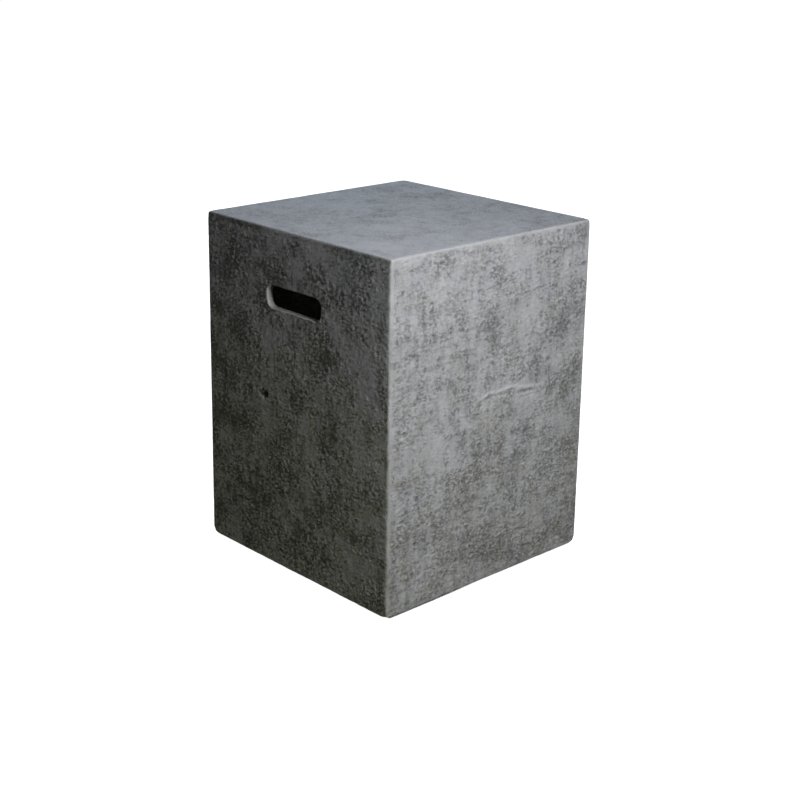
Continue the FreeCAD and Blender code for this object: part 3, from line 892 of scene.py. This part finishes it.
def pad_rings(segments=144):
    """Nylon foot: fluted hub slit in four places for the snap fit, sloped skirt, recessed sole."""
    turn = np.arange(segments) / segments
    slit = np.minimum(np.abs((turn * 4 + 0.5) % 1 - 0.5) / 4 * 2 * math.pi * 7.0, 9.0) < 0.55
    slit = slit.astype(float)
    flute = 0.5 - 0.5 * np.cos(turn * 2 * math.pi * 24)
    flute = flute ** 2 * (1 - slit)

    def cut(t):
        return np.where(slit > 0, np.minimum(t, 5.62 + 0.05 * (t - 5.62)), t) if t > 5.62 else t

    rings = [(2.0, 1.95), (6.3, 1.95), (6.56, 2.2), (6.56, 4.9), (6.50, 5.08), (4.5, 5.10), (4.12, 5.2),
             (4.10, 5.6)]
    rings += [(4.10, cut(6.5)), (4.10, cut(7.5)), (4.45, cut(7.92)), (5.6, cut(7.96)), (8.6, cut(7.98))]
    for r, t in arc(9.2, 7.4, 0.55, 90, 0):
        rings.append((r - 0.10 * flute, cut(t)))
    rings += [(9.85 - 0.42 * flute, cut(7.0)), (9.98 - 0.45 * flute, cut(6.2)), (10.08 - 0.42 * flute, cut(5.8)),
              (10.15 - 0.25 * flute, 5.50), (10.45, 5.05), (10.9, 4.83), (12.2, 4.22), (13.2, 3.75)]
    rings += arc(13.35, 3.1, 0.6, 70, 0)
    rings += [(13.92, 2.4), (13.92, 2.0), (13.80, 1.9), (13.80, 1.6), (13.94, 1.5), (13.96, 1.05)]
    rings += arc(12.98, 1.0, 0.98, 0, -90, 5)
    rings += [(11.4, 0.02), (11.1, 0.30), (10.9, 0.42), (8.2, 0.42), (8.0, 0.24), (7.4, 0.24), (7.2, 0.42),
              (2.6, 0.42), (1.5, 0.40), (1.3, 0.22)]
    return rings


def ferrule_rings(segments=96):
    """Cast-in M8 ferrule: chamfered bore, flange with spanner nicks, knurled barrel, two grooves."""
    turn = np.arange(segments) / segments
    knurl = (np.arange(segments) % 2) * 0.22
    nick = (np.abs((turn * 6 + 0.5) % 1 - 0.5) < 0.055) * 0.55
    rings = [(1.2, 42.4), (4.05, 41.0), (4.05, 30.0), (4.05, 16.0), (4.05, 14.85), (4.6, 14.3), (4.86, 14.04)]
    rings += [(5.6, 14.0), (9.2, 14.0)]
    rings += [(r - nick, t) for r, t in arc(9.55, 14.45, 0.43, -90, 0, 3)]
    rings += [(r - nick, t) for r, t in arc(9.55, 15.55, 0.43, 0, 90, 3)]
    rings += [(8.8, 16.0), (7.2, 16.0), (6.98 - knurl, 16.4), (6.98 - knurl, 21.7), (5.8, 23.0), (5.8, 27.0),
              (6.98 - knurl, 28.3), (6.98 - knurl, 31.7), (5.8, 33.0), (5.8, 37.0), (6.98 - knurl, 38.3),
              (6.98 - knurl, 44.9), (6.0, 46.0), (2.5, 46.0)]
    return rings


def foot_part(mesh_, name, node, body, place, material):
    m = mesh_.copy()
    m.transform(Matrix.Translation((place[0] / 1000, place[1] / 1000, 0)))
    m.materials.append(material)
    obj = bpy.data.objects.new(name, m)
    bpy.context.scene.collection.objects.link(obj)
    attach(obj, body)
    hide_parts(node)
    return obj


stem_mesh = turned("stem", stem_rings(), 48, 2.02, 40.0)
pad_mesh = turned("pad", pad_rings()[::-1], 144, 0.20, 1.95)
ferrule_mesh = turned("ferrule", ferrule_rings(), 96, 43.0, 46.0)
for foot_name, sx, sy in (("front_left", -1, -1), ("front_right", 1, -1), ("back_left", -1, 1), ("back_right", 1, 1)):
    place = (sx * FOOT, sy * FOOT)
    foot_part(stem_mesh, "threaded_stem_" + foot_name, "foot_stem_" + foot_name, "stem_" + foot_name, place, zinc)
    foot_part(pad_mesh, "nylon_pad_" + foot_name, "foot_pad_" + foot_name, "pad_" + foot_name, place, nylon)
    foot_part(ferrule_mesh, "cast_in_ferrule_" + foot_name, "foot_insert_" + foot_name, "shell", place, zinc)

# ---- floor, light and camera ----------------------------------------------------------------------
floor_mesh = bpy.data.meshes.new("floor")
s = 14.0
floor_mesh.from_pydata([(-s, -s, 0), (s, -s, 0), (s, s, 0), (-s, s, 0)], [], [(0, 1, 2, 3)])
floor = bpy.data.objects.new("floor", floor_mesh)
bpy.context.scene.collection.objects.link(floor)
fm, g, bsdf = new_material("pale_floor")
bsdf.inputs["Base Color"].default_value = (0.80, 0.80, 0.80, 1.0)
bsdf.inputs["Roughness"].default_value = 0.85
bsdf.inputs["Specular IOR Level"].default_value = 0.1
bsdf.inputs["Emission Color"].default_value = (1.0, 1.0, 1.0, 1.0)
n = g.node("ShaderNodeTexCoord")
across, along, _ = g.split(Value(g, n.outputs["Object"]))
# the floor's glow is cut off under the table and a little beyond the front rim's left part: a painted shadow line under
# the rim
side = g.mix(g.ramp(along, -0.188, -0.178), (across * -1.0 - 0.1855) * 8.0 + 0.170, across * -1.0 + 0.012)
front = g.mix(g.ramp(across, -0.11, 0.01), (along * -1.0 - 0.1922) * 8.0 + 0.170, along * -1.0)
clear = g.ramp(side.max(across).max(along).max(front), 0.170, 0.2005, 0.02, 1.0)     # no glow under the table: a painted shadow under the rim
g.put(bsdf.inputs["Emission Strength"], clear)
floor_mesh.materials.append(fm)
floor.visible_diffuse = False       # the paper's glow stays off the table, which stands in soft light only
floor.visible_glossy = False

world = bpy.data.worlds.new("studio")
bpy.context.scene.world = world
world.use_nodes = True
background = world.node_tree.nodes.get("Background") or world.node_tree.nodes.new("ShaderNodeBackground")
background.inputs["Color"].default_value = (1.0, 1.0, 1.0, 1.0)
background.inputs["Strength"].default_value = 0.03


def aim(obj, target):
    direction = Vector(target) - obj.location
    obj.rotation_euler = direction.to_track_quat("-Z", "Y").to_euler()


def softbox(name, place, target, size, watts, colour):
    light = bpy.data.lights.new(name, "AREA")
    light.shape = "SQUARE"
    light.size = size
    light.energy = watts
    light.color = colour
    obj = bpy.data.objects.new(name, light)
    obj.location = place
    bpy.context.scene.collection.objects.link(obj)
    aim(obj, target)
    return obj


softbox("key_front", (-0.20, -1.10, 0.90), (0.0, 0.0, 0.28), 0.45, 14.2, (1.0, 1.0, 1.0))
softbox("fill_left", (-1.20, -0.70, 0.40), (0.0, 0.0, 0.28), 1.0, 2.3, (0.99, 1.0, 0.90))
softbox("back_cool", (1.60, 1.90, 2.20), (0.0, 0.0, 0.28), 1.2, 33.0, (0.88, 0.99, 1.13))

camera_data = bpy.data.cameras.new("camera")
camera_data.sensor_width = 36.0
camera_data.lens = 1480.19 / 800.0 * 36.0
camera_data.clip_end = 100.0
camera = bpy.data.objects.new("camera", camera_data)
bpy.context.scene.collection.objects.link(camera)
right = Vector((0.728743, -0.684610, 0.015593))
down = Vector((-0.211723, -0.246910, -0.945626))
ahead = Vector((0.651235, 0.685817, -0.324882))
camera.matrix_world = Matrix((
    (right.x, -down.x, -ahead.x, -1.454844),
    (right.y, -down.y, -ahead.y, -1.541811),
    (right.z, -down.z, -ahead.z, 0.957962),
    (0, 0, 0, 1),
))
bpy.context.scene.camera = camera
bpy.context.scene.view_settings.view_transform = "Standard"
bpy.context.scene.view_settings.look = "None"
